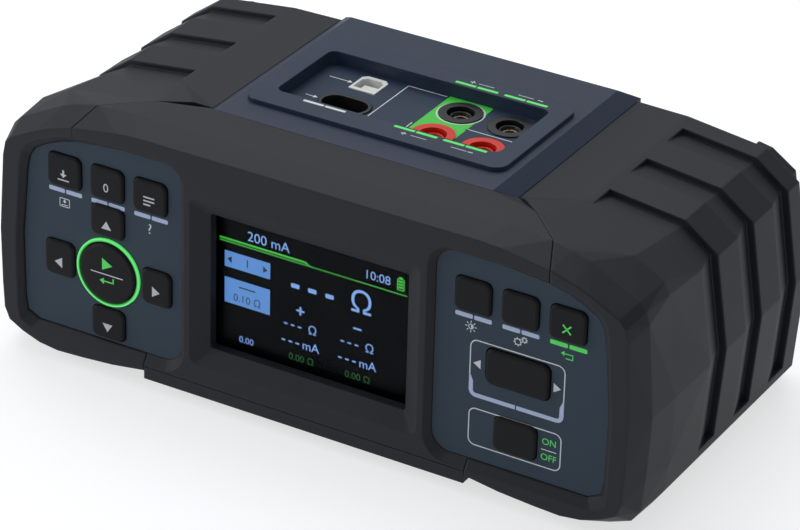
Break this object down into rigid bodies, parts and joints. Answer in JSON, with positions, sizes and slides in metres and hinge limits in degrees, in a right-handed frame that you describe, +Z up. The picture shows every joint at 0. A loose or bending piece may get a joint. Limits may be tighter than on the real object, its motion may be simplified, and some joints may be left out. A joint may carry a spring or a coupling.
{
  "type": "micro ohmmeter",
  "caption": "Low portable resistance tester with two rubber side bumpers, key panels beside a sloped display surround, and test sockets in a sunk tray on top.",
  "frame": {"origin": "on the rest plane under the middle of the object's box", "axes": "+X to the viewer's right when facing the keys, front faces -Y, +Z up"},
  "size_m": [0.254, 0.131, 0.0995],
  "materials": {
    "cover_plastic": "fine matt grain",
    "bumper_rubber": "moulded, matt",
    "seal_rubber": "plain",
    "inner_plastic": "plain",
    "slate_panel": "satin film with printed marks",
    "key_rubber": "satin",
    "circuit_board": "varnished",
    "light_ring": "translucent",
    "spring_steel": "plain",
    "window": "clear",
    "display": "lit screen",
    "black_plastic": "moulded",
    "red_plastic": "moulded",
    "plated_brass": "plated",
    "white_plastic": "moulded",
    "core_steel": "varnished core and winding",
    "shunt_alloy": "bright strip",
    "sink_aluminium": "anodised",
    "cell_jacket": "shrink jacket",
    "screw_steel": "zinc plated"
  },
  "bodies": {
    "housing": {"top_cover": "cover_plastic", "lower_shell": "cover_plastic", "front_bezel": "cover_plastic", "left_bumper": "bumper_rubber", "right_bumper": "bumper_rubber", "rear_panel": "cover_plastic", "case_seal": "seal_rubber", "front_frame": "inner_plastic", "left_key_panel": "slate_panel", "right_key_panel": "slate_panel", "left_key_mat": "seal_rubber", "right_key_mat": "seal_rubber", "left_key_board": "circuit_board", "right_key_board": "circuit_board", "start_light_ring": "light_ring", "rocker_bracket": "spring_steel", "display_window": "window", "display_gasket": "seal_rubber", "display_module": "display", "connection_plate": "slate_panel", "connection_tray": "slate_panel", "current_plus_socket": "black_plastic", "current_minus_socket": "black_plastic", "voltage_plus_socket": "red_plastic", "voltage_minus_socket": "red_plastic", "socket_contacts": "plated_brass", "socket_nuts": "black_plastic", "usb_socket": "white_plastic", "usb_tongue": "white_plastic", "mains_inlet": "black_plastic", "mains_pins": "plated_brass", "main_board": "circuit_board", "supply_board": "circuit_board", "transformer": "core_steel", "shunt_resistor": "shunt_alloy", "heat_sink": "sink_aluminium", "battery_tray": "black_plastic", "battery_cells": "cell_jacket", "battery_door": "cover_plastic", "battery_door_screws": "screw_steel", "board_screws": "screw_steel", "frame_screws": "screw_steel", "housing_screws": "screw_steel"},
    "save_key": {"save_key": "key_rubber"},
    "zero_key": {"zero_key": "key_rubber"},
    "help_key": {"help_key": "key_rubber"},
    "up_key": {"up_key": "key_rubber"},
    "down_key": {"down_key": "key_rubber"},
    "left_key": {"left_key": "key_rubber"},
    "right_key": {"right_key": "key_rubber"},
    "start_key": {"start_key": "key_rubber"},
    "backlight_key": {"backlight_key": "key_rubber"},
    "settings_key": {"settings_key": "key_rubber"},
    "escape_key": {"escape_key": "key_rubber"},
    "power_key": {"power_key": "key_rubber"},
    "function_rocker": {"function_rocker": "key_rubber"}
  },
  "joints": [
    {"name": "save_key_press", "type": "slide", "parent": "housing", "child": "save_key", "axis": [0, 1, 0], "range_m": [0, 0.0011], "stiffness_N_per_m": 600},
    {"name": "zero_key_press", "type": "slide", "parent": "housing", "child": "zero_key", "axis": [0, 1, 0], "range_m": [0, 0.0011], "stiffness_N_per_m": 600},
    {"name": "help_key_press", "type": "slide", "parent": "housing", "child": "help_key", "axis": [0, 1, 0], "range_m": [0, 0.0011], "stiffness_N_per_m": 600},
    {"name": "up_key_press", "type": "slide", "parent": "housing", "child": "up_key", "axis": [0, 1, 0], "range_m": [0, 0.0011], "stiffness_N_per_m": 600},
    {"name": "down_key_press", "type": "slide", "parent": "housing", "child": "down_key", "axis": [0, 1, 0], "range_m": [0, 0.0011], "stiffness_N_per_m": 600},
    {"name": "left_key_press", "type": "slide", "parent": "housing", "child": "left_key", "axis": [0, 1, 0], "range_m": [0, 0.0011], "stiffness_N_per_m": 600},
    {"name": "right_key_press", "type": "slide", "parent": "housing", "child": "right_key", "axis": [0, 1, 0], "range_m": [0, 0.0011], "stiffness_N_per_m": 600},
    {"name": "start_key_press", "type": "slide", "parent": "housing", "child": "start_key", "axis": [0, 1, 0], "range_m": [0, 0.0011], "stiffness_N_per_m": 600},
    {"name": "backlight_key_press", "type": "slide", "parent": "housing", "child": "backlight_key", "axis": [0, 1, 0], "range_m": [0, 0.0011], "stiffness_N_per_m": 600},
    {"name": "settings_key_press", "type": "slide", "parent": "housing", "child": "settings_key", "axis": [0, 1, 0], "range_m": [0, 0.0011], "stiffness_N_per_m": 600},
    {"name": "escape_key_press", "type": "slide", "parent": "housing", "child": "escape_key", "axis": [0, 1, 0], "range_m": [0, 0.0011], "stiffness_N_per_m": 600},
    {"name": "power_key_press", "type": "slide", "parent": "housing", "child": "power_key", "axis": [0, 1, 0], "range_m": [0, 0.0011], "stiffness_N_per_m": 600},
    {"name": "function_rocker_tip", "type": "hinge", "parent": "housing", "child": "function_rocker", "pos_m": [0.08039, -0.0598, 0.0503], "axis": [0, 0, 1], "range_deg": [-3, 3], "stiffness_Nm_per_rad": 0.05}
  ]
}
